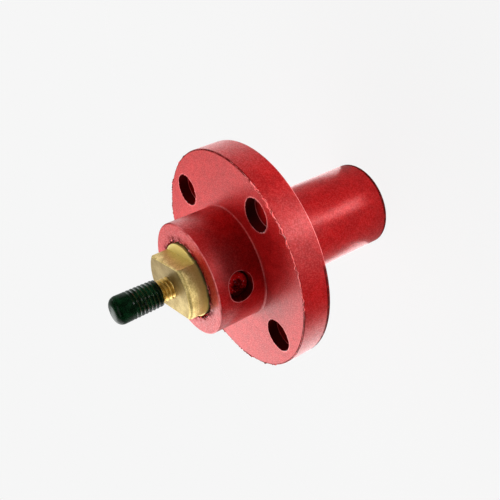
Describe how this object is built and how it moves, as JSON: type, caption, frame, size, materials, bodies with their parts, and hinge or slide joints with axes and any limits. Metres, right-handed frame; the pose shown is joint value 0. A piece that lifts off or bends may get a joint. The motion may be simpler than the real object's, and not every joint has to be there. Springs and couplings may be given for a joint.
{
  "type": "panel-mount cam lock receptacle",
  "caption": "Single pole panel receptacle: red moulded insulator with round flange, boss and barrel, brass socket contact with wrench flats, and a threaded stud under a soft cap.",
  "frame": {"origin": "centre of the flange's mounting face, on the connector's axis", "axes": "+Z along the axis from the mating mouth towards the terminal stud, +X towards the retaining screw; the part stands on the barrel's open end"},
  "size_m": [0.0825, 0.0824, 0.1083],
  "materials": {
    "red_rubber": "moulded, satin with a fine grain",
    "contact_brass": "turned and milled, bare",
    "pin_steel": "ground",
    "stud_brass": "rolled thread, bare",
    "green_vinyl": "soft gloss vinyl",
    "screw_nylon": "dark nylon"
  },
  "bodies": {
    "root": {"insulator": "red_rubber", "contact": "contact_brass", "cam_pin": "pin_steel", "terminal_stud": "stud_brass", "thread_cap": "green_vinyl", "retaining_screw": "screw_nylon"}
  },
  "joints": []
}
